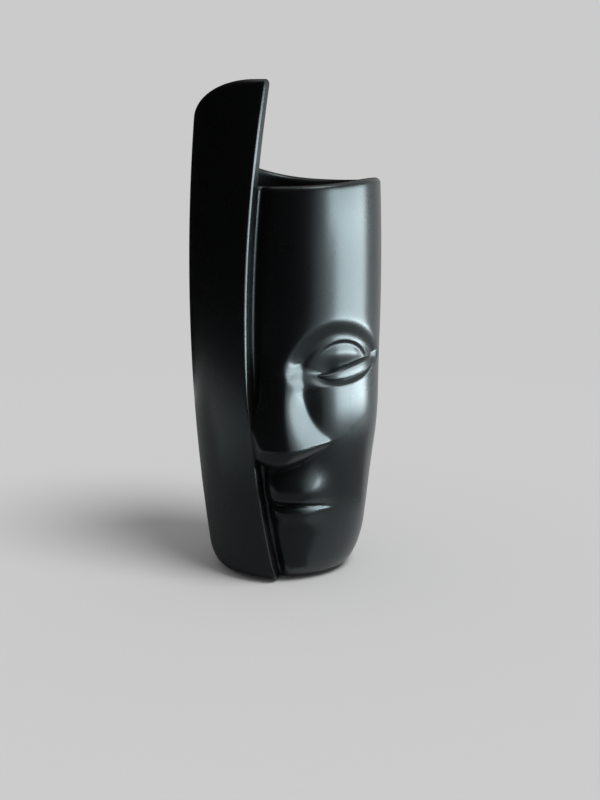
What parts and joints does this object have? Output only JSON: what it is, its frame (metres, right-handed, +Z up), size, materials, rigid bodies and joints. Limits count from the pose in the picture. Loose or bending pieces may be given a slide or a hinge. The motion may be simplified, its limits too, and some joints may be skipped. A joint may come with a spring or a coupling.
{
  "type": "face vase",
  "caption": "Scroll-shaped ceramic vase with half a face in relief on its front wall, a tall leaf lapping over the rest, and an open well for flower stems.",
  "frame": {"origin": "on the barrel's axis at table level, the centre of the felt disc's underside", "axes": "+Z up, -Y the way the face looks, +X to the right of a viewer facing the face"},
  "size_m": [0.1177, 0.1244, 0.3],
  "materials": {
    "glaze": "satin black glaze",
    "inner_clay": "thinly glazed black clay",
    "felt": "pressed black felt"
  },
  "bodies": {
    "root": {"face_wall": "glaze", "wrap_leaf": "glaze", "floor_slab": "glaze", "floor_seam": "inner_clay", "lap_seam": "inner_clay", "back_seam": "inner_clay", "base_felt": "felt"}
  },
  "joints": []
}
